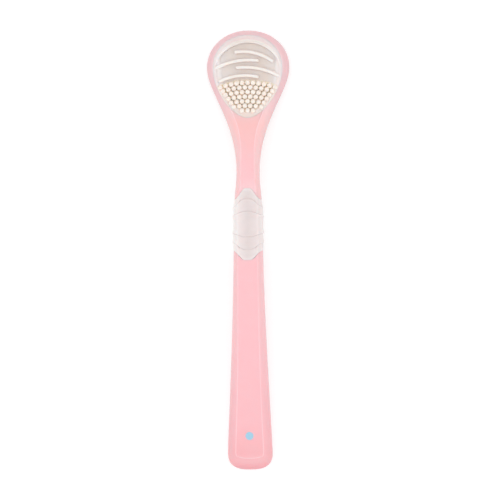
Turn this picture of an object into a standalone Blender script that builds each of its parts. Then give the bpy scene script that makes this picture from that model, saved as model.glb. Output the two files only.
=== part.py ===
"""Tongue brush: a rigid moulded handle, a soft cleaning pad set into a window in its head, and a soft
grip moulded round its waist. Metres, +Z up. It lies on its back with the cleaning side up, the
handle's end towards -Y and the head towards +Y. The handle is gently arched along its length, so it
rests on its two ends. The origin is under the middle of its length, on the surface it lies on.

Along the length, places are distances from the handle's end. Across the thickness, a level is a
height over the handle's middle plane, which follows the arch."""

import math

import bmesh
import bpy
import numpy as np

# Plan of the handle
overall_length = 0.170
head_width = 0.0320
head_widest_from_tip = 0.0145
neck_width = 0.0089
neck_from_tip = 0.0552
grip_from_tip = 0.0750
waist_width = 0.0112
end_width = 0.0173
end_round_length = 0.0066

# How far each side curve keeps its direction as it leaves a width
head_sweep = 0.0093
neck_sweep = 0.0203
neck_grip_sweep = 0.0046
waist_neck_sweep = 0.0100
waist_shaft_sweep = 0.0340
end_sweep = 0.0050

# Exponents of the two rounded ends: 2 is an ellipse, and more is squarer
head_roundness = 2.08
end_roundness = 2.7

# Thickness and arch of the handle
head_thickness = 0.0046
taper_from_tip = 0.0360
neck_thickness = 0.0052
waist_thickness = 0.0072
end_thickness = 0.0054
arch_rise = 0.0052
arch_blend = 0.0160
foot_flat_depth = 0.0001

# Width of the sloping band between the flat front and the side, along the length
rim_bevel_tip = 0.0017
rim_bevel_side = 0.0022
taper_bevel = 0.0036
neck_bevel = 0.0017
waist_bevel = 0.0017
end_bevel_side = 0.0032
end_bevel_tip = 0.0044
flat_edge_width = 0.00025
back_bevel = 0.0016

# Rounded side of the handle: share of the band's width in from the side, share of the half thickness
front_round_shares = ((1.0, 1.0), (0.64, 0.79), (0.32, 0.55), (0.10, 0.29), (0.0, 0.0))
back_round_shares = ((0.0, -0.34), (0.14, -0.68), (0.45, -0.90), (1.0, -1.0))

# Window in the head, and the ledge that carries the pad
rim_width_tip = 0.0021
rim_width_side = 0.0028
pad_end_from_tip = 0.0336
pad_side_sweep = 0.0085
pad_end_sweep = 0.0056
ledge_width = 0.0022
ledge_top_level = -0.0005
window_waist_level = -0.0014
window_flare = 0.0004

# Clearance between two pieces that touch
seam_gap = 0.0003

# Cleaning pad
lip_width_top = 0.0027
lip_width_side = 0.0009
lip_width_low = 0.0009
lip_width_end = 0.0018
lip_low_from_tip = 0.0275
lip_proud = 0.00015
ridge_rise = 0.00045
ridge_full_from_tip = 0.0090
ridge_end_from_tip = 0.0145
floor_level = 0.0014
wall_width_top = 0.0002
wall_width_side = 0.0024
wall_width_end = 0.0008
wall_top_level = 0.0021
back_lip_width = 0.0012
back_hollow_level = -0.0004

# Lip across its width: share of the lip width in from the pad's edge, share of the ridge's rise
lip_ridge_shares = ((0.93, 0.7), (0.86, 1.0), (0.74, 1.0), (0.60, 0.4), (0.46, 0.0))
lip_edge_round = 0.0003
lip_edge_round_shares = ((0.55, 0.12), (0.15, 0.45), (0.0, 1.0))

# Cleaning nubs: rows that curve with the head, in a staggered pattern
nub_pitch = 0.00213
nub_row_pitch = 0.00179
first_row_from_tip = 0.0203
row_curve_radius = 0.0310
nub_row_count = 7
nub_edge_margin = 0.00062
nub_root_radius = 0.00098
nub_tip_radius = 0.00083
nub_top_level = 0.0029
nub_dome = 0.00052
nub_dome_shares = ((1.0, 1.0), (0.87, 0.5), (0.58, 0.16), (0.22, 0.0))

# Scraping ribs, from the tip down: the crown of each arc, its radius, and how far it runs each way
rib_crowns_across = (-0.0020, 0.0003, -0.0012, -0.0012)
rib_crowns_from_tip = (0.0082, 0.0115, 0.0143, 0.0175)
rib_arc_radii = (0.0194, 0.0271, 0.0271, 0.0217)
rib_left_ends = (-0.0044, -0.0119, -0.0039, -0.0107)
rib_right_ends = (0.0093, 0.0036, 0.0116, 0.0036)
rib_root_half_width = 0.00072
rib_top_half_width = 0.00052
rib_top_level = 0.00270
rib_round = 0.00026
rib_round_shares = ((0.0, 1.0), (0.3, 0.3), (1.0, 0.0))

# Grip. Its ends are arched over its front and back, more so at the head's end. The arch is level
# near the middle line, up to a share of the half width, and falls from there to the side.
grip_length = 0.0271
grip_head_arch = 0.0044
grip_end_arch = 0.0036
arch_level_share = 0.20
grip_wall = 0.0015
grip_proud = 0.00006
grip_bulge = 0.00018
key_hole_diameter = 0.0030
key_hole_spacing = 0.0120

# Ripples of the grip, on each side of its middle. Each rises slowly and falls quickly, outwards.
ripple_crest_shares = (0.34, 0.69)
ripple_height = 0.00030
ripple_rise_length = 0.0026
ripple_fall_length = 0.00035

# Depth that a cutter runs past what it cuts, less where its ends fan out, and depth that a joined shape
# is sunk into its neighbour
overrun = 0.0020
seat_overrun = 0.0006
root_depth = 0.0004

# Least depth of a strip across the handle's front or back
least_strip_depth = 0.0012

# Least angle, in radians, by which a face is twisted rather than flat
least_twist = 1e-5

# How finely the curves are stepped
end_steps = 12
shaft_steps = 18
waist_steps = 10
shoulder_steps = 20
head_steps = 18
pad_top_steps = 20
pad_side_steps = 20
ripple_rise_steps = 3
ripple_fall_steps = 2
front_steps = 6
back_steps = 3
rib_steps = 12
rib_end_steps = 4
nub_sides = 8
key_sides = 16

# Colours as linear red, green and blue
handle_colour = (0.96, 0.46, 0.52)
pad_colour = (0.86, 0.80, 0.74)
grip_colour = (0.86, 0.80, 0.78)

grip_place = overall_length - grip_from_tip
head_widest_place = overall_length - head_widest_from_tip


def lerp(first, last, share):
    return first + (last - first) * share


def ease(share):
    share = min(max(share, 0.0), 1.0)
    return share * share * (3 - 2 * share)


def eased(stations, place):
    """Value at a place, eased between (place, value) stations that are listed in rising order."""
    if place <= stations[0][0]:
        return stations[0][1]
    for (start, first), (end, last) in zip(stations, stations[1:]):
        if place <= end:
            return lerp(first, last, ease((place - start) / (end - start)))
    return stations[-1][1]


def bezier(points, steps):
    """Points along a cubic Bezier curve, its first point left out."""
    start, first, second, end = (np.array(point, float) for point in points)
    shares = [(step + 1) / steps for step in range(steps)]
    return [
        tuple(
            start * (1 - share) ** 3
            + first * 3 * share * (1 - share) ** 2
            + second * 3 * share**2 * (1 - share)
            + end * share**3
        )
        for share in shares
    ]


def rounded_quarter(half_width, centre, reach, roundness, steps):
    """Quarter of a superellipse from the middle line to its side. A negative reach points to -Y."""
    points = []
    for step in range(steps + 1):
        angle = math.pi / 2 * step / steps
        across = half_width * math.sin(angle) ** (2 / roundness)
        along = centre + reach * max(math.cos(angle), 0.0) ** (2 / roundness)
        points.append((across if step else 0.0, along))
    points[-1] = (half_width, centre)
    return points


def handle_outline():
    """Right half of the handle's plan, as (x, place) from the end to the head's tip."""
    end_half, waist_half, neck_half, head_half = (
        width / 2 for width in (end_width, waist_width, neck_width, head_width)
    )
    end_place = end_round_length
    neck_place = overall_length - neck_from_tip
    points = rounded_quarter(end_half, end_place, -end_round_length, end_roundness, end_steps)
    points += bezier(
        (
            (end_half, end_place),
            (end_half, end_place + end_sweep),
            (waist_half, grip_place - waist_shaft_sweep),
            (waist_half, grip_place),
        ),
        shaft_steps,
    )
    points += bezier(
        (
            (waist_half, grip_place),
            (waist_half, grip_place + waist_neck_sweep),
            (neck_half, neck_place - neck_grip_sweep),
            (neck_half, neck_place),
        ),
        waist_steps,
    )
    points += bezier(
        (
            (neck_half, neck_place),
            (neck_half, neck_place + neck_sweep),
            (head_half, head_widest_place - head_sweep),
            (head_half, head_widest_place),
        ),
        shoulder_steps,
    )
    cap = rounded_quarter(
        head_half, head_widest_place, head_widest_from_tip, head_roundness, head_steps
    )
    return points + cap[-2::-1]


def pad_outline():
    """Right half of the pad's plan, as (x, place) from its low end to its top."""
    half_width = head_width / 2 - rim_width_side
    low_place = overall_length - pad_end_from_tip
    points = [(0.0, low_place)]
    points += bezier(
        (
            (0.0, low_place),
            (pad_end_sweep, low_place),
            (half_width, head_widest_place - pad_side_sweep),
            (half_width, head_widest_place),
        ),
        pad_side_steps,
    )
    reach = head_widest_from_tip - rim_width_tip
    cap = rounded_quarter(half_width, head_widest_place, reach, head_roundness, pad_top_steps)
    return points + cap[-2::-1]


def half_thickness(place):
    """Half of the handle's thickness. It changes evenly along the shaft, so both faces are flat there."""
    if place <= grip_place:
        return lerp(end_thickness, waist_thickness, place / grip_place) / 2
    stations = (
        (grip_place, waist_thickness / 2),
        (overall_length - neck_from_tip, neck_thickness / 2),
        (overall_length - taper_from_tip, head_thickness / 2),
    )
    return eased(stations, place)


def arch_share(place):
    """The arch at a place, from 0 at both feet to nearly 1 at the grip: two slopes, rounded between."""
    low, high = back_bevel, overall_length - back_bevel
    rise, fall = 1 / (grip_place - low), 1 / (high - grip_place)
    tent = min((place - low) * rise, (high - place) * fall)
    inside = max(arch_blend - abs(place - grip_place), 0.0)
    return tent - (rise + fall) * inside**2 / (4 * arch_blend)


def spine(place):
    """Height of the middle plane over the surface that the brush lies on. The two feet are cut flat by
    that surface."""
    low, high = back_bevel, overall_length - back_bevel
    share = (place - low) / (high - low)
    foot_height = lerp(half_thickness(low), half_thickness(high), share) - foot_flat_depth
    return foot_height + arch_rise * arch_share(place)


def front_bevel(place):
    """Width of the sloping band between the flat front and the side."""
    stations = (
        (0.0, end_bevel_tip),
        (end_round_length, end_bevel_side),
        (grip_place, waist_bevel),
        (overall_length - neck_from_tip, neck_bevel),
        (overall_length - taper_from_tip, taper_bevel),
        (head_widest_place, rim_bevel_side),
        (overall_length, rim_bevel_tip),
    )
    return eased(stations, place)


def at(across, place, level):
    """The point in the brush's frame at a place along it and a level over its middle plane."""
    return (across, place - overall_length / 2, spine(place) + level)


def inset(outline, width_at):
    """A half outline moved inwards along its normals. A negative width moves it outwards."""
    moved = []
    for index, (across, place) in enumerate(outline):
        before = outline[max(index - 1, 0)]
        after = outline[min(index + 1, len(outline) - 1)]
        along = (after[0] - before[0], after[1] - before[1])
        if index in (0, len(outline) - 1):
            along = (1.0 if index == 0 else -1.0, 0.0)
        size = math.hypot(*along)
        width = width_at(place)
        x = across - along[1] / size * width
        moved.append((x if across else 0.0, place + along[0] / size * width))
    return moved


def ring(outline, level_at):
    """A closed loop of points from a half outline, up its right side and down its left."""
    right = [at(across, place, level_at(place)) for across, place in outline]
    left = [(-x, y, z) for x, y, z in right[-2:0:-1]]
    return right + left


def close_with_strips(mesh, loop):
    """Closes a loop with strips across it, each of them flat where the loop follows the arch."""
    start, middle = 0, len(loop) // 2
    for index in range(1, middle + 1):
        deep_enough = abs(loop[index].co.y - loop[start].co.y) > least_strip_depth
        if deep_enough or index == middle:
            right = loop[start : index + 1]
            left = [loop[-step] for step in range(index, start - 1, -1)]
            mesh.faces.new(list(dict.fromkeys(right + left)))
            start = index


def join_loops(mesh, lower, upper):
    """A band of faces between two loops of equal length."""
    for index in range(len(lower)):
        after = (index + 1) % len(lower)
        mesh.faces.new((lower[index], lower[after], upper[after], upper[index]))


def split_twisted(mesh):
    """Splits the faces that aren't flat, so that the cuts made through them are exact."""
    bmesh.ops.connect_verts_nonplanar(mesh, faces=mesh.faces, angle_limit=least_twist)


def material(name, colour, roughness):
    """A plastic or rubber with one colour. The metallic value of both is zero."""
    made = bpy.data.materials.new(name)
    made.use_nodes = True
    shader = made.node_tree.nodes["Principled BSDF"]
    shader.inputs["Base Color"].default_value = (*colour, 1.0)
    shader.inputs["Roughness"].default_value = roughness
    shader.inputs["Metallic"].default_value = 0.0
    return made


def add_object(name, mesh):
    """An object made from a bmesh, with its faces turned outwards."""
    bmesh.ops.recalc_face_normals(mesh, faces=mesh.faces)
    data = bpy.data.meshes.new(name)
    mesh.to_mesh(data)
    mesh.free()
    made = bpy.data.objects.new(name, data)
    bpy.context.scene.collection.objects.link(made)
    return made


def stack(mesh, rings, arched=False):
    """A closed solid from rings of equal length, each joined to the next, with both ends closed."""
    loops = [[mesh.verts.new(point) for point in points] for points in rings]
    for lower, upper in zip(loops, loops[1:]):
        join_loops(mesh, lower, upper)
    for loop in (loops[0], loops[-1]):
        if arched:
            close_with_strips(mesh, loop)
        else:
            mesh.faces.new(loop)


def stack_object(name, rings, arched=False):
    mesh = bmesh.new()
    stack(mesh, rings, arched)
    if arched:
        split_twisted(mesh)
    return add_object(name, mesh)


def combine(target, tool, operation):
    """Joins a tool to an object or cuts the tool out of it, and removes the tool."""
    boolean = target.modifiers.new(tool.name, "BOOLEAN")
    boolean.operation = operation
    boolean.object = tool
    boolean.solver = "EXACT"
    bpy.context.view_layer.update()
    graph = bpy.context.evaluated_depsgraph_get()
    result = bpy.data.meshes.new_from_object(target.evaluated_get(graph))
    target.modifiers.clear()
    target.data = result
    bpy.data.objects.remove(tool)


def finish(target, made_material, sharp_degrees):
    """Shades the rounded stretches smooth and gives the piece its material."""
    target.data.shade_smooth()
    target.data.set_sharp_from_angle(angle=math.radians(sharp_degrees))
    target.data.materials.clear()
    target.data.materials.append(made_material)


def level_ring(outline, width, level):
    """A ring at one level, moved in from the outline by one width."""
    return ring(inset(outline, lambda place: width), lambda place: level)


def handle_blank():
    """The handle before it is cut: rings that step in from its side, to the flat front and back."""
    outline = handle_outline()

    def side_ring(bevel_at, width_share, level_share, further_in=0.0):
        moved = inset(outline, lambda place: width_share * bevel_at(place) + further_in)
        return ring(moved, lambda place: level_share * half_thickness(place))

    rings = [side_ring(front_bevel, 1.0, 1.0, flat_edge_width)]
    rings += [side_ring(front_bevel, *shares) for shares in front_round_shares]
    rings += [side_ring(lambda place: back_bevel, *shares) for shares in back_round_shares]
    return stack_object("handle", rings, arched=True)


def foot_cutter():
    """Takes away what reaches below the surface that the brush lies on."""
    x, y = head_width / 2 + overrun, overall_length / 2 + overrun
    corners = ((-x, -y), (x, -y), (x, y), (-x, y))
    return stack_object("foot_cutter", [[(*corner, z) for corner in corners] for z in (-overrun, 0.0)])


def pocket_cutter():
    """Makes room for the pad's flange, from the ledge that carries it up through the front."""
    outline = pad_outline()
    levels = (ledge_top_level, half_thickness(head_widest_place) + overrun)
    return stack_object("pocket_cutter", [level_ring(outline, -seam_gap, level) for level in levels])


def window_cutter():
    """Opens the window inside the ledge. It flares towards the back, so that the pad can't lift out."""
    outline = pad_outline()
    back_level = -half_thickness(head_widest_place)
    rings = (
        (ledge_width, ledge_top_level + overrun),
        (ledge_width, window_waist_level),
        (ledge_width - window_flare, back_level),
        (ledge_width - window_flare, back_level - overrun),
    )
    return stack_object("window_cutter", [level_ring(outline, *values) for values in rings])


def section_corners():
    """The cross-section from the middle of its front to the middle of its back. Each corner is
    (share of the flat's half width, share of the bevel in from the side, bevel, share of thickness)."""
    front = [(step / front_steps, 1.0, front_bevel, 1.0) for step in range(front_steps)]
    front += [(1.0, width, front_bevel, level) for width, level in front_round_shares]
    back = [(step / back_steps, 1.0, lambda place: back_bevel, -1.0) for step in range(back_steps)]
    back += [(1.0, width, lambda place: back_bevel, level) for width, level in back_round_shares[::-1]]
    return front + back[::-1]


def section_point(corner, place, half_width, grow):
    """A corner of the cross-section, as (across, level), with the section grown on all sides."""
    flat_share, bevel_share, bevel_at, level_share = corner
    grown_share = (half_width + grow) / half_width
    across = flat_share * grown_share * (half_width - bevel_share * bevel_at(place))
    return across, level_share * (half_thickness(place) + grow)


def grip_reach(side_share, length_share):
    """Length of half the grip, at a share of its half width. It is longest along its middle line."""
    arch = grip_head_arch if length_share > 0 else grip_end_arch
    return grip_length / 2 - arch * ease((side_share - arch_level_share) / (1 - arch_level_share))


def arch_slope(side_share, length_share):
    """How fast the grip's end falls back along the handle, for each length across it."""
    arch = grip_head_arch if length_share > 0 else grip_end_arch
    arch_share = max((side_share - arch_level_share) / (1 - arch_level_share), 0.0)
    return arch * 6 * arch_share * (1 - arch_share) / ((1 - arch_level_share) * waist_width / 2)


def sleeve(name, end_gap, rings):
    """A tube round the waist. Each ring is (share of the way from its middle to its end, growth).
    The gap is added square to the arched ends."""
    outline = handle_outline()
    places = [place for _, place in outline]
    half_widths = [across for across, _ in outline]
    corners = section_corners()
    mesh = bmesh.new()
    loops = []
    for length_share, grow in rings:
        points = []
        for corner in corners:
            side_share = section_point(corner, grip_place, waist_width / 2, 0.0)[0] / (waist_width / 2)
            end_gap_along = end_gap * math.hypot(1.0, arch_slope(side_share, length_share))
            reach = grip_reach(side_share, length_share) + end_gap_along
            place = grip_place + length_share * reach
            half_width = float(np.interp(place, places, half_widths))
            across, level = section_point(corner, place, half_width, grow)
            points.append(at(across, place, level))
        points += [(-x, y, z) for x, y, z in points[-2:0:-1]]
        loops.append([mesh.verts.new(point) for point in points])
    for lower, upper in zip(loops, loops[1:] + loops[:1]):
        join_loops(mesh, lower, upper)
    split_twisted(mesh)
    return add_object(name, mesh)


def ripple_share(past_crest):
    """Share of a ripple's height at a distance outwards from its crest."""
    length = ripple_rise_length if past_crest < 0 else ripple_fall_length
    return ease(1 - abs(past_crest) / length)


def ring_distances():
    """Distances from the grip's middle to its rings, on one side: enough of them to shape each ripple."""
    distances = {0.0, grip_length / 2}
    for crest_share in ripple_crest_shares:
        crest = crest_share * grip_length / 2
        for step in range(ripple_rise_steps + 1):
            distances.add(crest - ripple_rise_length * step / ripple_rise_steps)
        for step in range(1, ripple_fall_steps + 1):
            distances.add(crest + ripple_fall_length * step / ripple_fall_steps)
    return sorted(distances)


def grip_rings():
    """The grip's rings: out over its rippled surface, then back along its bore."""
    half_length = grip_length / 2
    rings = []
    for distance in ring_distances():
        share = distance / half_length
        grow = grip_proud + grip_bulge * (1 - share**2)
        for crest_share in ripple_crest_shares:
            grow += ripple_height * ripple_share(distance - crest_share * half_length)
        rings.append((share, grow))
    outside = [(-share, grow) for share, grow in rings[:0:-1]] + rings
    return outside + [(share, seam_gap - grip_wall) for share in (1.0, 0.5, 0.0, -0.5, -1.0)]


def seat_cutter():
    """Thins the waist down to a core, over the grip's length and a gap at each of its ends."""
    shares = (-1.0, -0.75, -0.5, -0.25, 0.0, 0.25, 0.5, 0.75, 1.0)
    rings = [(share, seat_overrun) for share in shares]
    rings += [(share, -grip_wall) for share in shares[::-1]]
    return sleeve("seat_cutter", seam_gap, rings)


def key_pins(name, diameter, reach):
    """Two round pins through the waist's core, one each side of the grip's middle."""
    mesh = bmesh.new()
    for side in (-1, 1):
        place = grip_place + side * key_hole_spacing / 2
        rings = []
        for level in (-reach, reach):
            middle_x, middle_y, z = at(0.0, place, level)
            radius = diameter / 2
            angles = [2 * math.pi * step / key_sides for step in range(key_sides)]
            rings.append(
                [
                    (middle_x + radius * math.cos(angle), middle_y + radius * math.sin(angle), z)
                    for angle in angles
                ]
            )
        stack(mesh, rings)
    return add_object(name, mesh)


def make_handle():
    """The rigid piece: shaft, slim core under the grip, neck, and the rim round the pad."""
    handle = handle_blank()
    key_holes = key_pins("key_hole_cutter", key_hole_diameter, waist_thickness / 2)
    for cutter in (foot_cutter(), seat_cutter(), key_holes, pocket_cutter(), window_cutter()):
        combine(handle, cutter, "DIFFERENCE")
    finish(handle, material("handle_plastic", handle_colour, 0.25), 35)


def make_grip():
    """The soft sleeve round the waist. Two plugs in its bore fill the holes in the handle's core."""
    grip = sleeve("grip", 0.0, grip_rings())
    plug_reach = waist_thickness / 2 - grip_wall + seam_gap + root_depth
    combine(grip, key_pins("key_plugs", key_hole_diameter - 2 * seam_gap, plug_reach), "UNION")
    finish(grip, material("grip_rubber", grip_colour, 0.45), 50)


def lip_width(place):
    """Width of the pad's lip, from its edge in to its floor."""
    stations = (
        (overall_length - pad_end_from_tip, lip_width_end),
        (overall_length - lip_low_from_tip, lip_width_low),
        (head_widest_place, lip_width_side),
        (overall_length - rim_width_tip, lip_width_top),
    )
    return eased(stations, place)


def wall_width(place):
    """Width of the sloping wall between the lip and the floor: steep at the top, gentle at the sides."""
    stations = (
        (overall_length - pad_end_from_tip, wall_width_end),
        (head_widest_place, wall_width_side),
        (overall_length - ridge_full_from_tip, wall_width_top),
    )
    return eased(stations, place)


def ridge_height(place):
    """Rise of the scraping ridge over the lip. It runs round the head's end and fades at the sides."""
    from_tip = overall_length - place
    fade_length = ridge_end_from_tip - ridge_full_from_tip
    return ridge_rise * ease((ridge_end_from_tip - from_tip) / fade_length)


def pad_blank():
    """The pad without its ribs and nubs: a lipped disc on a plug that fills the window."""
    outline = pad_outline()
    lip_level = half_thickness(head_widest_place) + lip_proud
    flange_level = ledge_top_level + seam_gap
    back_level = -half_thickness(head_widest_place)
    plug_inset = ledge_width + seam_gap
    back_inset = plug_inset - window_flare

    def lip_ring(width_share, rise_share):
        moved = inset(outline, lambda place: width_share * lip_width(place))
        return ring(moved, lambda place: lip_level + rise_share * ridge_height(place))

    foot = inset(outline, lambda place: lip_width(place) + wall_width(place))
    rings = [ring(foot, lambda place: floor_level)]
    rings.append(ring(inset(outline, lip_width), lambda place: wall_top_level))
    rings += [lip_ring(*shares) for shares in lip_ridge_shares]
    for width_share, depth_share in lip_edge_round_shares:
        depth = depth_share * lip_edge_round
        rings.append(level_ring(outline, width_share * lip_edge_round, lip_level - depth))
    rings.append(level_ring(outline, 0.0, flange_level))
    rings.append(level_ring(outline, plug_inset, flange_level))
    rings.append(level_ring(outline, plug_inset, window_waist_level))
    rings.append(level_ring(outline, back_inset, back_level))
    rings.append(level_ring(outline, back_inset + back_lip_width, back_level))
    rings.append(level_ring(outline, back_inset + 2 * back_lip_width, back_hollow_level))
    return stack_object("head_pad", rings)


def bar_loop(centre, radius, angles, half_width):
    """The plan of a rounded bar along an arc, as (x, place). Angles are measured from the crown."""

    def offset(angle, turn):
        """A point round the arc's point: a turn of 0 is outwards, and a quarter turn is onwards."""
        out = radius + half_width * math.cos(turn)
        onwards = half_width * math.sin(turn)
        x = centre[0] + out * math.sin(angle) + onwards * math.cos(angle)
        return x, centre[1] + out * math.cos(angle) - onwards * math.sin(angle)

    turns = [math.pi * step / rib_end_steps for step in range(1, rib_end_steps)]
    loop = [offset(angle, 0.0) for angle in angles]
    loop += [offset(angles[-1], turn) for turn in turns]
    loop += [offset(angle, math.pi) for angle in angles[::-1]]
    return loop + [offset(angles[0], math.pi + turn) for turn in turns]


def rib_tool():
    """The scraping ribs: rounded bars along arcs, that start from alternate sides of the lip."""
    mesh = bmesh.new()
    levels = [(rib_root_half_width, floor_level - root_depth)]
    for width_share, depth_share in rib_round_shares:
        half_width = rib_top_half_width - width_share * rib_round
        levels.append((half_width, rib_top_level - depth_share * rib_round))
    ribs = zip(rib_crowns_across, rib_crowns_from_tip, rib_arc_radii, rib_left_ends, rib_right_ends)
    for across, from_tip, radius, left, right in ribs:
        centre = (across, overall_length - from_tip - radius)
        start, end = (math.asin((side - across) / radius) for side in (left, right))
        angles = [lerp(start, end, step / rib_steps) for step in range(rib_steps + 1)]
        rings = []
        for half_width, level in levels:
            loop = bar_loop(centre, radius, angles, half_width)
            rings.append([at(x, place, level) for x, place in loop])
        stack(mesh, rings)
    return add_object("rib_tool", mesh)


def nub_places():
    """Middles of the nubs: rows that curve with the head, each moved by half a pitch from the last,
    with the nubs that stand on the pad inside its edge."""
    edge = inset(pad_outline(), lambda place: nub_edge_margin)
    edge_places = [place for _, place in edge]
    edge_half_widths = [across for across, _ in edge]
    row_reach = int(head_width / nub_pitch)
    found = []
    for row in range(nub_row_count):
        row_place = overall_length - first_row_from_tip - row * nub_row_pitch
        shift = nub_pitch / 2 * (row % 2)
        for column in range(-row_reach, row_reach + 1):
            x = column * nub_pitch + shift
            place = row_place - x**2 / (2 * row_curve_radius)
            inside = edge_places[0] < place < edge_places[-1]
            if inside and abs(x) < np.interp(place, edge_places, edge_half_widths):
                found.append((x, place))
    return found


def nub_tool():
    """The cleaning nubs: tapered pegs with domed tops."""
    mesh = bmesh.new()
    levels = [(nub_root_radius, floor_level - root_depth)]
    for radius_share, depth_share in nub_dome_shares:
        levels.append((nub_tip_radius * radius_share, nub_top_level - nub_dome * depth_share))
    turns = [2 * math.pi * (step + 0.5) / nub_sides for step in range(nub_sides)]
    for x, place in nub_places():
        rings = []
        for radius, level in levels:
            rings.append(
                [at(x + radius * math.cos(turn), place + radius * math.sin(turn), level) for turn in turns]
            )
        stack(mesh, rings)
    return add_object("nub_tool", mesh)


def make_pad():
    """The soft cleaning pad: lip with its ridge, ribs, and nubs, all one moulding."""
    pad = pad_blank()
    combine(pad, rib_tool(), "UNION")
    combine(pad, nub_tool(), "UNION")
    finish(pad, material("pad_rubber", pad_colour, 0.4), 40)


for old in list(bpy.data.objects):
    bpy.data.objects.remove(old)

make_handle()
make_pad()
make_grip()
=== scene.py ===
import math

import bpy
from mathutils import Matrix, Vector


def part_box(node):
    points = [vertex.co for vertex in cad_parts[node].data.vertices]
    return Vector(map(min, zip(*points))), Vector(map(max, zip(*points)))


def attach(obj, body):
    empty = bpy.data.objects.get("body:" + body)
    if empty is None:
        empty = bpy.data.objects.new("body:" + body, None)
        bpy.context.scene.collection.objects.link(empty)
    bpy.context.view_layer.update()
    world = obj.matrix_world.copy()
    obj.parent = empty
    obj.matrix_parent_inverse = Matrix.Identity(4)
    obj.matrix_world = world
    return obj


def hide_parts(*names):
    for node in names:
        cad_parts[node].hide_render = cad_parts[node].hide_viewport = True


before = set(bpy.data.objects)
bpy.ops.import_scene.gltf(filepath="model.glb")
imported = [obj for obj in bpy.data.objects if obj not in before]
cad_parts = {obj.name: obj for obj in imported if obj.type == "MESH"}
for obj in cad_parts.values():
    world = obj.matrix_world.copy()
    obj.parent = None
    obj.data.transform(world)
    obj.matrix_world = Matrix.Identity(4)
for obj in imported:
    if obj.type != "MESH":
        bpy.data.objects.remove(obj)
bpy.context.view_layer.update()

# Looks of the tongue brush: its moulded handle, its soft grip, and the cleaning pad in its head

# Lengths are in metres. The brush lies on its back along Y with its head towards +Y. A level is a
# height over the middle plane of the head, which slopes down towards the tip.

tip_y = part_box("handle")[1].y
end_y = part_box("handle")[0].y
head_half_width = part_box("handle")[1].x
pad_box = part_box("head_pad")
grip_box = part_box("grip")

# The middle plane of the head, and the levels of the pad on it
head_plane_y = 0.0800
head_plane_height = 0.0024493
head_plane_slope = -0.0733333
head_half_thickness = 0.0023
flange_level = -0.0002
floor_level = 0.0014
lip_level = 0.00245
front_start_level = 0.0005
front_full_level = 0.0010
back_hollow_level = -0.0004
window_waist_level = -0.0014

# Seams, where both soft pieces fill the 0.3 mm that their solids leave free, and a little more
seam_fill = 0.00033

# Cleaning pad: its outline, lip, ridge, sloping wall and plug
pad_roundness = 2.08
head_widest_from_tip = 0.0145
pad_side_sweep = 0.0085
pad_end_sweep = 0.0056
lip_width_top = 0.0027
lip_width_side = 0.0009
lip_width_low = 0.0009
lip_width_end = 0.0018
lip_low_from_tip = 0.0275
lip_edge_round = 0.00015
lip_start_share = 0.42
lip_end_share = 0.97
ridge_rise = 0.00045
ridge_full_from_tip = 0.0090
ridge_end_from_tip = 0.0145
ridge_place_share = 0.80
ridge_half_width_share = 0.42
wall_width_top = 0.0002
wall_width_side = 0.0024
wall_width_end = 0.0008
wall_top_level = 0.0021
plug_inset = 0.0025
window_flare = 0.0004
back_lip_width = 0.0012
outline_steps = 48
lip_steps = 14
edge_steps = 3
wall_steps = 6

# Scraping ribs, from the tip down: crown, radius, and how far each runs to either side
rib_crowns_across = (-0.0020, 0.0003, -0.0012, -0.0012)
rib_crowns_from_tip = (0.0082, 0.0115, 0.0143, 0.0175)
rib_arc_radii = (0.0194, 0.0271, 0.0271, 0.0217)
rib_left_ends = (-0.0044, -0.0119, -0.0039, -0.0107)
rib_right_ends = (0.0093, 0.0036, 0.0116, 0.0036)
rib_root_width = 0.00140
rib_top_width = 0.00110
rib_top_level = 0.00272
rib_edge_round = 0.00034
rib_edge_segments = 4
rib_end_round = rib_top_width * 0.47
rib_end_segments = 6
rib_steps = 20
root_depth = 0.0003

# Cleaning nubs, in rows that curve with the head
nub_pitch = 0.00213
nub_row_pitch = 0.00179
first_row_from_tip = 0.0203
row_curve_radius = 0.0310
nub_row_count = 7
nub_edge_margin = 0.00062
nub_root_radius = 0.00120
nub_tip_radius = 0.00088
nub_top_level = 0.00293
nub_round = 0.00050
nub_round_segments = 5
nub_sides = 16

# Crease between the handle's flat front and its sides: which faces meet there, and its fillet
flat_normal_z = 0.99
high_slope_z = 0.975
low_slope_z = 0.60
flat_angle = math.radians(0.1)
crease_fillet = 0.00030
crease_segments = 3

# Skins: which points are one, which edges stay sharp, and how fine the grip becomes
merge_distance = 0.000002
rib_merge_distance = 0.000001
quad_face_angle = math.radians(25)
quad_shape_angle = math.radians(60)
handle_sharp_angle = math.radians(34)
pad_sharp_angle = math.radians(45)
grip_sharp_angle = math.radians(50)
grip_crease_angle = math.radians(55)
top_edge_angle = math.radians(50)
grip_fineness = 2
# How the grip's painted shade and highlight are blurred, and the edge angles at which they turn dark and
# bright
shade_and_highlight_blur = 1
shade_angle = math.radians(60)
highlight_angle = math.radians(120)

# Printed dot near the handle's end, on its front only
dot_y = end_y + 0.0131
dot_radius = 0.0016
dot_edge = 0.00012
dot_start_height = 0.0035
dot_full_height = 0.0042

# Places along the handle where its colour changes, from its end to its head. Where the end rounds off,
# these colours are painted shade with a painted highlight band. Towards the head they grow paler, partly
# as painted sheen and partly for the thinner plastic.
end_turn_y = end_y + 0.0016
end_shine_y = end_y + 0.0030
end_shade_y = end_y + 0.0065
shaft_start_y = end_y + 0.0180
shaft_middle_y = -0.0400
neck_start_y = 0.0340
neck_middle_y = 0.0480
head_start_y = 0.0580

# Upward part of the way the handle's skin faces, over which its colours change: painted shade and sheen
# on the sloping sides, and a painted highlight along the crease between them and the front
side_upward = 0.80
front_upward = 0.985
crease_side_start = 0.950
crease_side_full = 0.980
crease_front_full = 0.9880
crease_front_end = 0.9960
crease_shine = 0.8

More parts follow.
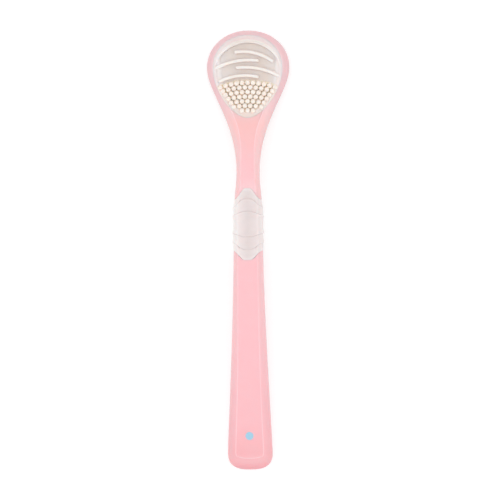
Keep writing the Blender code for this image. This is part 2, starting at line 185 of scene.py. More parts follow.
# Places across the pad where its colours change, and how softly they do along it and up it. These
# colours are painted shade in the pad's depths and painted light on its ridges, tips and among its nubs.
pad_middle_x = 0.005
pad_side_x = 0.012
floor_blend = 0.0003
row_blend = 0.0003
lip_blend = 0.00020
nub_tip_blend = 0.00012

# Grip's colours: places across it, where painted sheen makes its sides paler; depths of the painted
# shade in its hollows and of the painted highlight on its ridges; and the painted shade on its falls
# towards the ends
grip_shoulder_x = 0.0030
grip_side_x = 0.0056
hollow_full = 0.38
hollow_end = 0.49
hollow_shade_strength = 0.9
ridge_start = 0.51
ridge_full = 0.62
ridge_highlight_strength = 0.3
fall_start = 0.15
fall_full = 0.45
fall_shade_strength = 0.4
fall_upward_start = 0.15
fall_upward_full = 0.40

# Range of the cloudy pattern that shows
cloud_low = 0.3
cloud_high = 0.7


def only(piece):
    """Makes a piece the active object and the only one selected."""
    bpy.ops.object.select_all(action="DESELECT")
    piece.select_set(True)
    bpy.context.view_layer.objects.active = piece


def ease(share):
    share = min(max(share, 0.0), 1.0)
    return share * share * (3 - 2 * share)


def eased(stations, place):
    """Value at a place, eased between (place, value) stations that are listed in rising order."""
    if place <= stations[0][0]:
        return stations[0][1]
    for (start, first), (end, last) in zip(stations, stations[1:]):
        if place <= end:
            return first + (last - first) * ease((place - start) / (end - start))
    return stations[-1][1]


def head_plane(y):
    return head_plane_height + (y - head_plane_y) * head_plane_slope


def lay_on_head_plane(piece):
    """Turns levels into heights: every point rises by the head's middle plane under it."""
    for vertex in piece.data.vertices:
        vertex.co.z += head_plane(vertex.co.y)


def merged_copy(node, name):
    """A copy of a solid as one connected skin of mostly four-sided faces."""
    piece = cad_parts[node].copy()
    piece.data = piece.data.copy()
    piece.name = name
    piece.parent = None
    bpy.context.scene.collection.objects.link(piece)
    only(piece)
    bpy.ops.object.mode_set(mode="EDIT")
    bpy.ops.mesh.select_all(action="SELECT")
    bpy.ops.mesh.remove_doubles(threshold=merge_distance)
    bpy.ops.mesh.customdata_custom_splitnormals_clear()
    bpy.ops.mesh.tris_convert_to_quads(
        face_threshold=quad_face_angle, shape_threshold=quad_shape_angle
    )
    bpy.ops.object.mode_set(mode="OBJECT")
    return piece


def make_handle():
    """The rigid moulding. Its shaft's flat front is first made one face, so that no thin slivers lie
    beside the crease. The crease between the front and the sloping sides then gets a narrow fillet."""
    piece = merged_copy("handle", "moulded_handle")
    bpy.ops.object.mode_set(mode="EDIT")
    bpy.ops.mesh.select_mode(type="FACE")
    bpy.ops.mesh.select_all(action="DESELECT")
    bpy.ops.object.mode_set(mode="OBJECT")
    for face in piece.data.polygons:
        face.select = face.normal.z > flat_normal_z and face.center.y < grip_box[0].y
    bpy.ops.object.mode_set(mode="EDIT")
    bpy.ops.mesh.dissolve_limited(angle_limit=flat_angle)
    bpy.ops.object.mode_set(mode="OBJECT")
    faces_at = {}
    for face in piece.data.polygons:
        for edge in face.edge_keys:
            faces_at.setdefault(edge, []).append(face.normal.z)

    def on_crease(edge):
        slopes = sorted(faces_at[tuple(sorted(edge.vertices))])
        if len(slopes) != 2:
            return False
        return slopes[1] > flat_normal_z and low_slope_z < slopes[0] < high_slope_z

    creases = [on_crease(edge) for edge in piece.data.edges]
    bpy.ops.object.mode_set(mode="EDIT")
    bpy.ops.mesh.select_mode(type="EDGE")
    bpy.ops.mesh.select_all(action="DESELECT")
    bpy.ops.object.mode_set(mode="OBJECT")
    piece.data.edges.foreach_set("select", creases)
    bpy.ops.object.mode_set(mode="EDIT")
    bpy.ops.mesh.bevel(offset=crease_fillet, segments=crease_segments, affect="EDGES")
    bpy.ops.object.mode_set(mode="OBJECT")
    bpy.ops.object.shade_smooth_by_angle(angle=handle_sharp_angle)
    level_normals = piece.modifiers.new("level_normals", "WEIGHTED_NORMAL")
    level_normals.keep_sharp = True
    bpy.ops.object.modifier_apply(modifier=level_normals.name)
    return piece


def make_grip():
    """The soft sleeve. Its ends are drawn out to meet the handle, and its skin is subdivided."""
    piece = merged_copy("grip", "grip_sleeve")
    middle_y = (grip_box[0].y + grip_box[1].y) / 2
    reach = (grip_box[1].y - grip_box[0].y) / 2
    for vertex in piece.data.vertices:
        vertex.co.y = middle_y + (vertex.co.y - middle_y) * (1 + seam_fill / reach)
    bpy.ops.object.mode_set(mode="EDIT")
    bpy.ops.mesh.select_mode(type="EDGE")
    bpy.ops.mesh.select_all(action="DESELECT")
    bpy.ops.mesh.edges_select_sharp(sharpness=grip_crease_angle)
    bpy.ops.transform.edge_crease(value=1.0)
    bpy.ops.object.mode_set(mode="OBJECT")
    smooth = piece.modifiers.new("smooth", "SUBSURF")
    smooth.levels = smooth.render_levels = grip_fineness
    bpy.ops.object.modifier_apply(modifier=smooth.name)
    bpy.ops.object.shade_smooth_by_angle(angle=grip_sharp_angle)
    # Painted shade in the sleeve's hollows and painted highlight on its ridges
    paint_shade_and_highlight(piece)
    return piece


def paint_shade_and_highlight(piece):
    """Paints a colour attribute of painted shade and highlight: dark in the piece's hollows, where shade
    falls, and bright on its ridges, where light catches.
    """
    only(piece)
    bpy.ops.geometry.color_attribute_add(
        name="painted_shade_and_highlight", domain="CORNER", data_type="FLOAT_COLOR", color=(1, 1, 1, 1)
    )
    bpy.ops.paint.vertex_color_dirt(
        blur_strength=1.0,
        blur_iterations=shade_and_highlight_blur,
        dirt_angle=shade_angle,
        clean_angle=highlight_angle,
        normalize=False,
    )


def pad_outline():
    """Right half of the pad's plan, as (x, y) from its low end round to its top."""
    half_width, low_y, top_y = pad_box[1].x, pad_box[0].y, pad_box[1].y
    widest_y = tip_y - head_widest_from_tip
    corners = [
        Vector((0.0, low_y)),
        Vector((pad_end_sweep, low_y)),
        Vector((half_width, widest_y - pad_side_sweep)),
        Vector((half_width, widest_y)),
    ]
    points = []
    for step in range(outline_steps + 1):
        share = step / outline_steps
        back = 1 - share
        weights = (back**3, 3 * share * back**2, 3 * share**2 * back, share**3)
        points.append(sum((corner * weight for corner, weight in zip(corners, weights)), Vector((0, 0))))
    for step in range(1, outline_steps + 1):
        angle = math.pi / 2 * step / outline_steps
        x = half_width * max(math.cos(angle), 0.0) ** (2 / pad_roundness)
        y = widest_y + (top_y - widest_y) * math.sin(angle) ** (2 / pad_roundness)
        points.append(Vector((x if step < outline_steps else 0.0, y)))
    return points


def inset(outline, width_at):
    """A half outline moved inwards along its normals. A negative width moves it outwards."""
    moved = []
    for index, point in enumerate(outline):
        along = outline[min(index + 1, len(outline) - 1)] - outline[max(index - 1, 0)]
        if index in (0, len(outline) - 1):
            along = Vector((1.0 if index == 0 else -1.0, 0.0))
        along.normalize()
        moved.append(point + Vector((-along.y, along.x)) * width_at(point.y))
    return moved


def lip_width(y):
    stations = (
        (pad_box[0].y, lip_width_end),
        (tip_y - lip_low_from_tip, lip_width_low),
        (tip_y - head_widest_from_tip, lip_width_side),
        (pad_box[1].y, lip_width_top),
    )
    return eased(stations, y)


def wall_width(y):
    """Width of the sloping wall between the lip and the floor: steep at the top, gentle at the sides."""
    stations = (
        (pad_box[0].y, wall_width_end),
        (tip_y - head_widest_from_tip, wall_width_side),
        (tip_y - ridge_full_from_tip, wall_width_top),
    )
    return eased(stations, y)


def ridge_height(y):
    """Rise of the scraping ridge. It runs round the head's end and fades out at the sides."""
    fade = (ridge_end_from_tip - (tip_y - y)) / (ridge_end_from_tip - ridge_full_from_tip)
    return ridge_rise * ease(fade)


def lip_level_at(y, share):
    """Level of the lip at a share of its width, from its outer edge to its inner one."""
    off_ridge = abs(share - ridge_place_share) / ridge_half_width_share
    ridge = ridge_height(y) * ease(1 - off_ridge)
    return lip_level + ridge


def pad_ring(width_at, level_at):
    """A closed ring of points, moved in from the pad's outline by a width and set at a level."""
    right = [Vector((x, y, level_at(y))) for x, y in inset(pad_outline(), width_at)]
    return right + [Vector((-point.x, point.y, point.z)) for point in right[-2:0:-1]]


def extrude_through(piece, face_index, corners, rings):
    """Extrudes a face again and again, moving its corners to the next ring of points each time."""
    only(piece)
    places = [piece.data.vertices[index].co for index in piece.data.polygons[face_index].vertices]
    order = [
        min(range(len(corners)), key=lambda index: (corners[index] - place).length)
        for place in places
    ]
    for ring in rings:
        bpy.ops.object.mode_set(mode="EDIT")
        bpy.ops.mesh.select_mode(type="FACE")
        bpy.ops.mesh.select_all(action="DESELECT")
        bpy.ops.object.mode_set(mode="OBJECT")
        piece.data.polygons[face_index].select = True
        bpy.ops.object.mode_set(mode="EDIT")
        bpy.ops.mesh.extrude_region_move()
        bpy.ops.object.mode_set(mode="OBJECT")
        moved = next(face for face in piece.data.polygons if face.select)
        for corner, index in zip(moved.vertices, order):
            piece.data.vertices[corner].co = ring[index]
        face_index = moved.index


def lip_rings():
    """Rings from the pad's outer edge up over its lip and down its sloping wall to the floor."""
    rings = []
    for step in range(edge_steps + 1):
        turn = math.pi / 2 * step / edge_steps
        width = lip_edge_round * (1 - math.cos(turn)) - seam_fill * math.cos(turn)
        level = lip_level - lip_edge_round * (1 - math.sin(turn))
        rings.append(pad_ring(lambda y: width, lambda y: level))
    for step in range(lip_steps + 1):
        share = lip_start_share + (lip_end_share - lip_start_share) * step / lip_steps
        rings.append(pad_ring(lambda y: lip_width(y) * share, lambda y: lip_level_at(y, share)))
    for step in range(wall_steps + 1):
        share = step / wall_steps
        rings.append(
            pad_ring(
                lambda y: lip_width(y) + wall_width(y) * share,
                lambda y: wall_top_level + (floor_level - wall_top_level) * ease(share),
            )
        )
    return rings


def plug_rings():
    """Rings from the flange's underside down through the window, and into the hollow of the back."""
    widths_and_levels = (
        (plug_inset, flange_level),
        (plug_inset - seam_fill, window_waist_level),
        (plug_inset - seam_fill - window_flare, -head_half_thickness),
        (plug_inset - window_flare + back_lip_width, -head_half_thickness),
        (plug_inset - window_flare + 2 * back_lip_width, back_hollow_level),
    )
    return [pad_ring(lambda y: width, lambda y: level) for width, level in widths_and_levels]


def make_pad_base():
    """The lipped dish and the plug under it, drawn out both ways from the flange's underside."""
    corners = pad_ring(lambda y: -seam_fill, lambda y: flange_level)
    bpy.ops.object.select_all(action="DESELECT")
    bpy.ops.mesh.primitive_circle_add(vertices=len(corners), radius=head_half_width, fill_type="NGON")
    piece = bpy.context.object
    for corner, point in zip(piece.data.polygons[0].vertices, corners):
        piece.data.vertices[corner].co = point
    extrude_through(piece, 0, corners, lip_rings())
    underside = min(piece.data.polygons, key=lambda face: face.center.z).index
    extrude_through(piece, underside, corners, plug_rings())
    bpy.ops.object.mode_set(mode="EDIT")
    bpy.ops.mesh.select_all(action="SELECT")
    bpy.ops.mesh.normals_make_consistent(inside=False)
    bpy.ops.object.mode_set(mode="OBJECT")
    return piece


def pick_edges(piece, wanted):
    """Goes into edit mode with those edges selected whose two ends pass a test."""
    only(piece)
    bpy.ops.object.mode_set(mode="EDIT")
    bpy.ops.mesh.select_mode(type="EDGE")
    bpy.ops.mesh.select_all(action="DESELECT")
    bpy.ops.object.mode_set(mode="OBJECT")
    for edge in piece.data.edges:
        first, second = (piece.data.vertices[index].co for index in edge.vertices)
        edge.select = wanted(first, second)
    bpy.ops.object.mode_set(mode="EDIT")


def round_top(piece, high, offset, segments):
    """Rounds the sharp edges at a piece's highest level."""
    only(piece)
    bpy.ops.object.mode_set(mode="EDIT")
    bpy.ops.mesh.select_mode(type="EDGE")
    bpy.ops.mesh.select_all(action="DESELECT")
    bpy.ops.mesh.edges_select_sharp(sharpness=top_edge_angle)
    bpy.ops.object.mode_set(mode="OBJECT")
    points = piece.data.vertices
    for edge in piece.data.edges:
        lowest = min(points[index].co.z for index in edge.vertices)
        edge.select = edge.select and lowest > high - offset / 2
    bpy.ops.object.mode_set(mode="EDIT")
    bpy.ops.mesh.bevel(offset=offset, segments=segments, affect="EDGES")
    bpy.ops.object.mode_set(mode="OBJECT")


def make_rib(across, from_tip, radius, left, right):
    """One rib: a tapered profile spun along its arc, with round ends and a rounded top."""
    centre = Vector((across, tip_y - from_tip - radius, 0.0))
    round_end = rib_root_width / 2 / radius
    start = math.asin((left - across) / radius) - round_end
    end = math.asin((right - across) / radius) + round_end
    low, high = floor_level - root_depth, rib_top_level
    bpy.ops.object.select_all(action="DESELECT")
    bpy.ops.mesh.primitive_plane_add(
        size=1.0, location=centre + Vector((0, radius, (low + high) / 2)), rotation=(0, math.pi / 2, 0)
    )
    rib = bpy.context.object
    bpy.ops.object.transform_apply(location=True, rotation=True, scale=True)
    for vertex in rib.data.vertices:
        at_top = vertex.co.z > (low + high) / 2
        width = rib_top_width if at_top else rib_root_width
        height = high if at_top else low
        out = radius + math.copysign(width / 2, vertex.co.y - centre.y - radius)
        vertex.co = centre + Vector((out * math.sin(start), out * math.cos(start), height))
    bpy.ops.object.mode_set(mode="EDIT")
    bpy.ops.mesh.select_all(action="SELECT")
    bpy.ops.mesh.spin(steps=rib_steps, angle=end - start, center=centre, axis=(0, 0, 1))
    bpy.ops.mesh.select_all(action="SELECT")
    bpy.ops.mesh.remove_doubles(threshold=rib_merge_distance)
    bpy.ops.mesh.normals_make_consistent(inside=False)
    bpy.ops.object.mode_set(mode="OBJECT")

    def end_corner(first, second):
        turn = math.atan2(first.x - centre.x, first.y - centre.y)
        at_end = min(abs(turn - start), abs(turn - end)) < (end - start) / rib_steps / 2
        return at_end and abs(first.z - second.z) > (high - low) / 2

    pick_edges(rib, end_corner)
    bpy.ops.mesh.bevel(offset=rib_end_round, segments=rib_end_segments, affect="EDGES")
    bpy.ops.object.mode_set(mode="OBJECT")
    round_top(rib, high, rib_edge_round, rib_edge_segments)
    return rib


def nub_places():
    """Middles of the nubs: curved rows, each half a pitch along from the last, inside the pad's edge."""
    edge = inset(pad_outline(), lambda y: nub_edge_margin)
    reach = int(head_half_width / nub_pitch) + 1
    places = []
    for row in range(nub_row_count):
        row_y = tip_y - first_row_from_tip - row * nub_row_pitch
        for column in range(-reach, reach + 1):
            x = (column + 0.5 * (row % 2)) * nub_pitch
            y = row_y - x**2 / (2 * row_curve_radius)
            for below, above in zip(edge, edge[1:]):
                if below.y <= y < above.y:
                    half_width = below.x + (above.x - below.x) * (y - below.y) / (above.y - below.y)
                    if abs(x) < half_width:
                        places.append(Vector((x, y, 0.0)))
    return places


def make_nubs():
    """One nub is turned and rounded, and then copied to every place."""
    low = floor_level - root_depth
    places = nub_places()
    bpy.ops.object.select_all(action="DESELECT")
    bpy.ops.mesh.primitive_cone_add(
        vertices=nub_sides,
        radius1=nub_root_radius,
        radius2=nub_tip_radius,
        depth=nub_top_level - low,
        location=(0, 0, (nub_top_level + low) / 2),
    )
    bpy.ops.object.transform_apply(location=True, rotation=True, scale=True)
    first = bpy.context.object
    round_top(first, nub_top_level, nub_round, nub_round_segments)
    nubs = [first]
    for place in places[1:]:
        nub = first.copy()
        nub.data = first.data.copy()
        nub.data.transform(Matrix.Translation(place))
        bpy.context.scene.collection.objects.link(nub)
        nubs.append(nub)
    first.data.transform(Matrix.Translation(places[0]))
    return nubs


def join(pieces, name):
    bpy.ops.object.select_all(action="DESELECT")
    for piece in pieces:
        piece.select_set(True)
    bpy.context.view_layer.objects.active = pieces[0]
    bpy.ops.object.join()
    pieces[0].name = name
    return pieces[0]


def unite(piece, other):
    """Makes one skin of two solids that are sunk into each other."""
    only(piece)
    union = piece.modifiers.new("union", "BOOLEAN")
    union.operation = "UNION"
    union.solver = "EXACT"
    union.use_self = True
    union.object = other
    bpy.ops.object.modifier_apply(modifier=union.name)
    bpy.data.objects.remove(other)


def make_pad():
    """The cleaning pad: its lipped base, ribs and nubs as one moulding."""
    pad = make_pad_base()
    ribs = zip(rib_crowns_across, rib_crowns_from_tip, rib_arc_radii, rib_left_ends, rib_right_ends)
    unite(pad, join([make_rib(*values) for values in ribs], "ribs"))
    unite(pad, join(make_nubs(), "nubs"))
    pad.name = "cleaning_pad"
    lay_on_head_plane(pad)
    only(pad)
    bpy.ops.object.shade_smooth_by_angle(angle=pad_sharp_angle)
    return pad


def new_material(name):
    """An empty material, as its name, node tree and shader."""
    material = bpy.data.materials.new(name)
    material.use_nodes = True
    return material, material.node_tree, material.node_tree.nodes["Principled BSDF"]


def add_node(tree, kind, settings=None, **inputs):
    """A node with its settings and inputs. An input is a plain value, or an output to link."""
    made = tree.nodes.new(kind)
    for key, value in (settings or {}).items():
        setattr(made, key, value)
    for key, value in inputs.items():
        socket = made.inputs[int(key[1:])] if key[0] == "i" and key[1:].isdigit() else made.inputs[key]
        if isinstance(value, bpy.types.NodeSocket):
            tree.links.new(value, socket)
        else:
            socket.default_value = value
    return made


def mix_colours(tree, factor, first, second):
    made = add_node(tree, "ShaderNodeMix", {"data_type": "RGBA"}, i0=factor, i6=first, i7=second)
    return made.outputs[2]


def map_range(tree, value, low, high, to_low, to_high):
    settings = {"interpolation_type": "SMOOTHSTEP"}
    limits = {"i1": low, "i2": high, "i3": to_low, "i4": to_high}
    return add_node(tree, "ShaderNodeMapRange", settings, i0=value, **limits).outputs[0]


def by_cloud(tree, cloud, least, most):
    """A value that follows the cloudy pattern."""
    return map_range(tree, cloud, cloud_low, cloud_high, least, most)


def calculate(tree, operation, *values):
    """What a sum gives. Each value is a plain number, or an output to link."""
    inputs = {f"i{index}": value for index, value in enumerate(values)}
    return add_node(tree, "ShaderNodeMath", {"operation": operation}, **inputs).outputs[0]


def place_on_brush(tree):
    """Where a point is, as the outputs X, Y and Z."""
    place = add_node(tree, "ShaderNodeTexCoord").outputs["Object"]
    return add_node(tree, "ShaderNodeSeparateXYZ", Vector=place).outputs


def way_it_faces(tree):
    """Which way the skin faces, as the outputs X, Y and Z."""
    normal = add_node(tree, "ShaderNodeNewGeometry").outputs["Normal"]
    return add_node(tree, "ShaderNodeSeparateXYZ", Vector=normal).outputs


def ramp(tree, value, stops):
    """A colour for a value, between (value, colour) stops that are listed in rising order."""
    low, high = stops[0][0], stops[-1][0]
    share = add_node(tree, "ShaderNodeMapRange", i0=value, i1=low, i2=high).outputs[0]
    made = add_node(tree, "ShaderNodeValToRGB", i0=share)
    elements = made.color_ramp.elements
    while len(elements) < len(stops):
        elements.new(0.5)
    for element, (stop, colour) in zip(elements, stops):
        element.position = (stop - low) / (high - low)
        element.color = colour
    return made.outputs["Color"]


def make_moulded_skin_group():
    """What every moulded surface here shares: cloudy colour, a fine grain and an uneven gloss."""
    group = bpy.data.node_groups.new("moulded_skin", "ShaderNodeTree")
    for name, default in (("Cloud Size", 300.0), ("Grain Size", 3000.0)):
        socket = group.interface.new_socket(name, in_out="INPUT", socket_type="NodeSocketFloat")
        socket.default_value = default
    for name in ("Cloud", "Grain"):
        group.interface.new_socket(name, in_out="OUTPUT", socket_type="NodeSocketFloat")
    inputs = group.nodes.new("NodeGroupInput")
    outputs = group.nodes.new("NodeGroupOutput")
    place = add_node(group, "ShaderNodeTexCoord").outputs["Object"]
    cloud_size, grain_size = inputs.outputs["Cloud Size"], inputs.outputs["Grain Size"]
    noise = "ShaderNodeTexNoise"
    cloud = add_node(group, noise, Vector=place, Scale=cloud_size, Detail=3.0, Roughness=0.55)
    grain = add_node(group, noise, Vector=place, Scale=grain_size, Detail=4.0, Roughness=0.6)
    group.links.new(cloud.outputs["Fac"], outputs.inputs["Cloud"])
    group.links.new(grain.outputs["Fac"], outputs.inputs["Grain"])
    return group


def moulded_skin(tree, group, cloud_size, grain_size):
    made = add_node(tree, "ShaderNodeGroup", {"node_tree": group})
    made.inputs["Cloud Size"].default_value = cloud_size
    made.inputs["Grain Size"].default_value = grain_size
    return made.outputs["Cloud"], made.outputs["Grain"]


def bump(tree, height, distance, strength):
    made = add_node(tree, "ShaderNodeBump", Height=height, Distance=distance, Strength=strength)
    return made.outputs["Normal"]


def linear(red, green, blue):
    """A colour given as it looks on screen, from 0 to 255, as linear light. For pale colours only."""
    return (*(((value / 255 + 0.055) / 1.055) ** 2.4 for value in (red, green, blue)), 1.0)


def handle_material(skin):
    """Glossy pale pink with one plain printed dot. Painted shade makes it a little deeper towards the
    thin end, and painted sheen, with thinner plastic, makes it paler at the head. Its sloping sides
    carry painted shade and sheen, and its crease a painted highlight.
    """
    material, tree, shader = new_material("pink_gloss_plastic")
    cloud, grain = moulded_skin(tree, skin, cloud_size=140.0, grain_size=2600.0)
    place = place_on_brush(tree)
    # Pink along the length: painted shade and a painted highlight band where the end rounds off, and
    # paler at the head, partly painted sheen and partly thinner plastic
    along = ramp(
        tree,
        place["Y"],
        (
            (end_y, linear(248, 172, 179)),
            (end_turn_y, linear(250, 182, 189)),
            (end_shine_y, linear(250, 190, 195)),
            (end_shade_y, linear(248, 183, 188)),
            (shaft_start_y, linear(252, 191, 197)),
            (shaft_middle_y, linear(253, 194, 200)),
            (neck_start_y, linear(253, 198, 202)),
            (neck_middle_y, linear(250, 194, 192)),
            (head_start_y, linear(240, 205, 207)),
        ),
    )
    # Colour of the sloping sides: darker than the front towards the end, as painted shade, and paler at
    # the neck, as painted sheen
    pale = ramp(
        tree,
        place["Y"],
        (
            (end_y, linear(246, 166, 174)),
            (end_shine_y, linear(248, 184, 189)),
            (shaft_start_y, linear(248, 188, 194)),
            (shaft_middle_y, linear(253, 197, 202)),
            (neck_start_y, linear(252, 206, 207)),
            (neck_middle_y, linear(244, 206, 206)),
            (head_start_y, linear(239, 198, 202)),
        ),
    )
    upward = way_it_faces(tree)["Z"]
    on_slope = map_range(tree, upward, side_upward, front_upward, 1.0, 0.0)
    pink = mix_colours(tree, on_slope, along, pale)
    # Painted highlight along the crease between the flat front and the sloping sides
    rising = map_range(tree, upward, crease_side_start, crease_side_full, 0.0, 1.0)
    falling = map_range(tree, upward, crease_front_full, crease_front_end, 1.0, 0.0)
    on_crease = calculate(tree, "MULTIPLY", rising, falling)
    shine = calculate(tree, "MULTIPLY", on_crease, crease_shine)
    pink = mix_colours(tree, shine, pink, linear(255, 216, 221))
    pink = mix_colours(tree, by_cloud(tree, cloud, 0.0, 0.10), pink, linear(254, 208, 212))
    in_plan = add_node(tree, "ShaderNodeCombineXYZ", X=place["X"], Y=place["Y"]).outputs[0]
    distance = {"operation": "DISTANCE"}
    from_dot = add_node(tree, "ShaderNodeVectorMath", distance, i0=in_plan, i1=(0.0, dot_y, 0.0))
    in_dot = map_range(tree, from_dot.outputs["Value"], dot_radius - dot_edge, dot_radius, 1.0, 0.0)
    on_front = map_range(tree, place["Z"], dot_start_height, dot_full_height, 0.0, 1.0)
    printed = calculate(tree, "MULTIPLY", in_dot, on_front)
    pink = mix_colours(tree, printed, pink, linear(166, 208, 230))
    tree.links.new(pink, shader.inputs["Base Color"])
    tree.links.new(by_cloud(tree, cloud, 0.28, 0.34), shader.inputs["Roughness"])
    tree.links.new(bump(tree, grain, distance=0.00002, strength=0.15), shader.inputs["Normal"])
    shader.inputs["IOR"].default_value = 1.46
    shader.inputs["Subsurface Weight"].default_value = 0.25
    shader.inputs["Subsurface Radius"].default_value = (1.0, 0.45, 0.4)
    shader.inputs["Subsurface Scale"].default_value = 0.0012
    return material


def pad_material(skin):
    """Translucent cream rubber, with painted shade that makes it beige in its depths, painted light that
    makes it nearly white on its ridges and tips, and a painted glow in the gaps among its nubs.
    """
    material, tree, shader = new_material("cream_rubber")
    cloud, grain = moulded_skin(tree, skin, cloud_size=260.0, grain_size=3600.0)
    place = place_on_brush(tree)
    height_at_zero = head_plane_height - head_plane_y * head_plane_slope
    plane = calculate(tree, "MULTIPLY_ADD", place["Y"], head_plane_slope, height_at_zero)
    level = calculate(tree, "SUBTRACT", place["Z"], plane)
    sideways = calculate(tree, "ABSOLUTE", place["X"])
    beside = map_range(tree, sideways, pad_middle_x, pad_side_x, 0.0, 1.0)
    # Painted shade by level in the middle of the pad: darker down in its floor, lightest on the ribs
    middle_shade_by_level = ramp(
        tree,
        level,
        (
            (floor_level, linear(229, 220, 214)),
            (lip_level, linear(240, 223, 222)),
            (rib_top_level, linear(238, 235, 230)),
            (nub_top_level, linear(228, 218, 214)),
        ),
    )
    # Painted shade by level at the sides, paler and greyer, darker only right at the floor
    side_shade_by_level = ramp(
        tree,
        level,
        (
            (floor_level, linear(235, 229, 227)),
            (floor_level + floor_blend, linear(244, 238, 236)),
            (lip_level, linear(243, 231, 230)),
            (rib_top_level, linear(243, 240, 237)),
            (nub_top_level, linear(238, 232, 230)),
        ),
    )
    # Painted glow among the nubs, standing for light that comes through the rubber into the gaps, and
    # painted highlights on the nub tips
    painted_glow_among_nubs = ramp(
        tree,
        level,
        (
            (floor_level, linear(252, 238, 219)),
            (lip_level - lip_blend, linear(253, 239, 223)),
            (lip_level, linear(242, 226, 220)),
            (nub_top_level - nub_tip_blend, linear(246, 231, 221)),
            (nub_top_level, linear(250, 237, 229)),
        ),
    )
    cream = mix_colours(tree, beside, middle_shade_by_level, side_shade_by_level)
    nubs_top_y = tip_y - first_row_from_tip + nub_root_radius
    across_squared = calculate(tree, "MULTIPLY", place["X"], place["X"])
    row_y = calculate(tree, "MULTIPLY_ADD", across_squared, 0.5 / row_curve_radius, place["Y"])
    below_ribs = map_range(tree, row_y, nubs_top_y - row_blend, nubs_top_y + row_blend, 1.0, 0.0)
    in_front = map_range(tree, level, front_start_level, front_full_level, 0.0, 1.0)
    among_nubs = calculate(tree, "MULTIPLY", below_ribs, in_front)
    cream = mix_colours(tree, among_nubs, cream, painted_glow_among_nubs)
    cloudiness = map_range(tree, cloud, 0.35, 0.65, 0.0, 0.06)
    cream = mix_colours(tree, cloudiness, cream, linear(214, 190, 170))
    tree.links.new(cream, shader.inputs["Base Color"])
    tree.links.new(by_cloud(tree, cloud, 0.30, 0.40), shader.inputs["Roughness"])
    tree.links.new(bump(tree, grain, distance=0.00002, strength=0.2), shader.inputs["Normal"])
    shader.inputs["IOR"].default_value = 1.43
    shader.inputs["Subsurface Weight"].default_value = 1.0
    shader.inputs["Subsurface Radius"].default_value = (1.0, 0.9, 0.8)
    shader.inputs["Subsurface Scale"].default_value = 0.0012
    return material


def grip_material(skin):
    """Soft pinkish-white rubber with a satin skin. Painted sheen makes its sides paler, most on the
    left, painted shade darkens its hollows and steep steps, and painted highlights lighten its ridges.
    """
    material, tree, shader = new_material("white_grip_rubber")
    cloud, grain = moulded_skin(tree, skin, cloud_size=220.0, grain_size=3200.0)
    # Paler towards the sides, most on the left, as painted sheen from the lights beside it
    white = ramp(
        tree,
        place_on_brush(tree)["X"],
        (
            (-grip_side_x, linear(253, 245, 243)),
            (-grip_shoulder_x, linear(236, 225, 224)),
            (0.0, linear(225, 213, 212)),
            (grip_shoulder_x, linear(231, 219, 218)),
            (grip_side_x, linear(245, 234, 233)),
        ),
    )
    white = mix_colours(tree, by_cloud(tree, cloud, 0.0, 0.2), white, linear(244, 234, 232))
    # Painted shade in the hollows and painted highlight on the ridges
    painted_shade_and_highlight = add_node(tree, "ShaderNodeVertexColor", {"layer_name": "painted_shade_and_highlight"}).outputs["Color"]
    hollow_shade = map_range(tree, painted_shade_and_highlight, hollow_full, hollow_end, hollow_shade_strength, 0.0)
    ridge = map_range(tree, painted_shade_and_highlight, ridge_start, ridge_full, 0.0, ridge_highlight_strength)
    white = mix_colours(tree, hollow_shade, white, linear(216, 199, 197))
    white = mix_colours(tree, ridge, white, linear(253, 246, 244))
    # Painted shade on the steep steps that face along the grip, on its front
    facing = way_it_faces(tree)
    lengthwise = calculate(tree, "ABSOLUTE", facing["Y"])
    steep = map_range(tree, lengthwise, fall_start, fall_full, 0.0, fall_shade_strength)
    in_front = map_range(tree, facing["Z"], fall_upward_start, fall_upward_full, 0.0, 1.0)
    fall_shade = calculate(tree, "MULTIPLY", steep, in_front)
    white = mix_colours(tree, fall_shade, white, linear(203, 186, 184))
    tree.links.new(white, shader.inputs["Base Color"])
    tree.links.new(by_cloud(tree, cloud, 0.46, 0.54), shader.inputs["Roughness"])
    tree.links.new(bump(tree, grain, distance=0.00003, strength=0.25), shader.inputs["Normal"])
    shader.inputs["IOR"].default_value = 1.43
    shader.inputs["Subsurface Weight"].default_value = 0.35
    shader.inputs["Subsurface Radius"].default_value = (1.0, 0.7, 0.6)
    shader.inputs["Subsurface Scale"].default_value = 0.0010
    return material


def add_piece(piece, material, node):
    """Gives a piece its material, hangs it on the root body, and hides the CAD node that it stands for.
    """
    piece.data.materials.clear()
    piece.data.materials.append(material)
    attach(piece, "root")
    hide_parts(node)


# Camera, floor and lights

# The brush is seen from above its front, turned a little about its own length. The picture's width is
# measured at the brush.
picture_width = 0.1935
camera_distance = 2.0
sensor_width = 36.0
seen_from_right = math.radians(4.6)
lean = math.radians(-0.32)
picture_middle = Vector((0.00043, 0.0, 0.004))

strip_reach = 1.2
strip_angle = math.radians(38)
strip_width = 0.15
strip_length = 1.6
left_strip_power = 3.55
right_strip_power = 3.55
low_sky = 0.93
high_sky = 0.57
low_sky_rise = 0.3

floor_size = 8.0
floor_grey = 0.70
floor_glow = 0.46


def add_camera():
    data = bpy.data.cameras.new("camera")
    data.sensor_width = sensor_width
    data.lens = sensor_width * camera_distance / picture_width
    data.clip_end = 10 * camera_distance
    camera = bpy.data.objects.new("camera", data)
    bpy.context.scene.collection.objects.link(camera)
    back = Vector((math.sin(seen_from_right), 0.0, math.cos(seen_from_right)))
    right = Vector((math.cos(seen_from_right), math.tan(lean), -math.sin(seen_from_right))).normalized()
    up = back.cross(right)
    camera.matrix_world = Matrix.Translation(picture_middle + back * camera_distance) @ Matrix(
        (right, up, back)
    ).transposed().to_4x4()
    bpy.context.scene.camera = camera


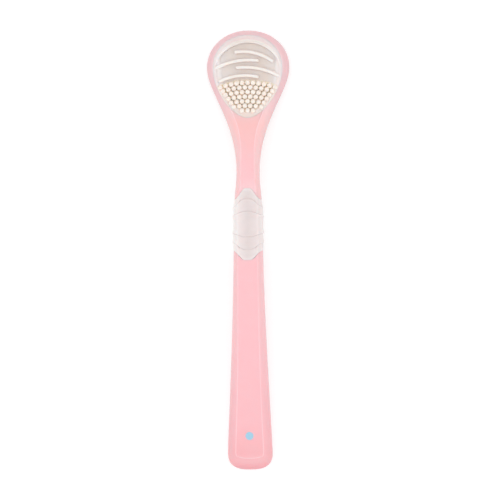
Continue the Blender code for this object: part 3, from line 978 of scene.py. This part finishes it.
def add_strip_light(name, side, power):
    """A long soft light beside the brush and above it, facing it."""
    data = bpy.data.lights.new(name, "AREA")
    data.shape = "RECTANGLE"
    data.size, data.size_y = strip_width, strip_length
    data.energy = power
    light = bpy.data.objects.new(name, data)
    across, up = math.sin(strip_angle), math.cos(strip_angle)
    light.location = (side * strip_reach * across, 0.0, strip_reach * up)
    light.rotation_euler = (0.0, side * strip_angle, 0.0)
    bpy.context.scene.collection.objects.link(light)


def seen_plainly(tree):
    """1 where the camera sees the background, also mirrored or through something, and otherwise 0."""
    path = add_node(tree, "ShaderNodeLightPath").outputs
    mirrored = calculate(tree, "MAXIMUM", path["Is Camera Ray"], path["Is Glossy Ray"])
    return calculate(tree, "MAXIMUM", mirrored, path["Is Transmission Ray"])


def add_floor():
    """A pale floor that keeps the brush's shadow and looks white to the camera."""
    bpy.ops.object.select_all(action="DESELECT")
    bpy.ops.mesh.primitive_plane_add(size=floor_size, location=(0, 0, 0))
    floor = bpy.context.object
    floor.name = "floor"
    material, tree, shader = new_material("white_floor")
    shader.inputs["Base Color"].default_value = (floor_grey, floor_grey, floor_grey, 1.0)
    shader.inputs["Roughness"].default_value = 0.9
    shader.inputs["Specular IOR Level"].default_value = 0.0
    lift = calculate(tree, "MULTIPLY", seen_plainly(tree), floor_glow)
    glow = add_node(tree, "ShaderNodeEmission", Strength=lift)
    both = add_node(tree, "ShaderNodeAddShader", i0=shader.outputs[0], i1=glow.outputs[0])
    tree.links.new(both.outputs[0], tree.nodes["Material Output"].inputs["Surface"])
    floor.data.materials.append(material)


def add_world():
    """An even white room, a little dimmer overhead, that the camera sees as plain white."""
    world = bpy.data.worlds.new("studio")
    world.use_nodes = True
    tree = world.node_tree
    direction = add_node(tree, "ShaderNodeTexCoord").outputs["Generated"]
    up = add_node(tree, "ShaderNodeSeparateXYZ", Vector=direction).outputs["Z"]
    sky = map_range(tree, up, low_sky_rise, 1.0, low_sky, high_sky)
    strength = calculate(tree, "MAXIMUM", sky, seen_plainly(tree))
    tree.links.new(strength, tree.nodes["Background"].inputs["Strength"])
    tree.nodes["Background"].inputs["Color"].default_value = (1.0, 1.0, 1.0, 1.0)
    bpy.context.scene.world = world


skin = make_moulded_skin_group()
add_piece(make_handle(), handle_material(skin), "handle")
add_piece(make_pad(), pad_material(skin), "head_pad")
add_piece(make_grip(), grip_material(skin), "grip")
add_floor()
add_world()
add_strip_light("left_strip", -1, left_strip_power)
add_strip_light("right_strip", 1, right_strip_power)
add_camera()
bpy.context.scene.view_settings.view_transform = "Standard"
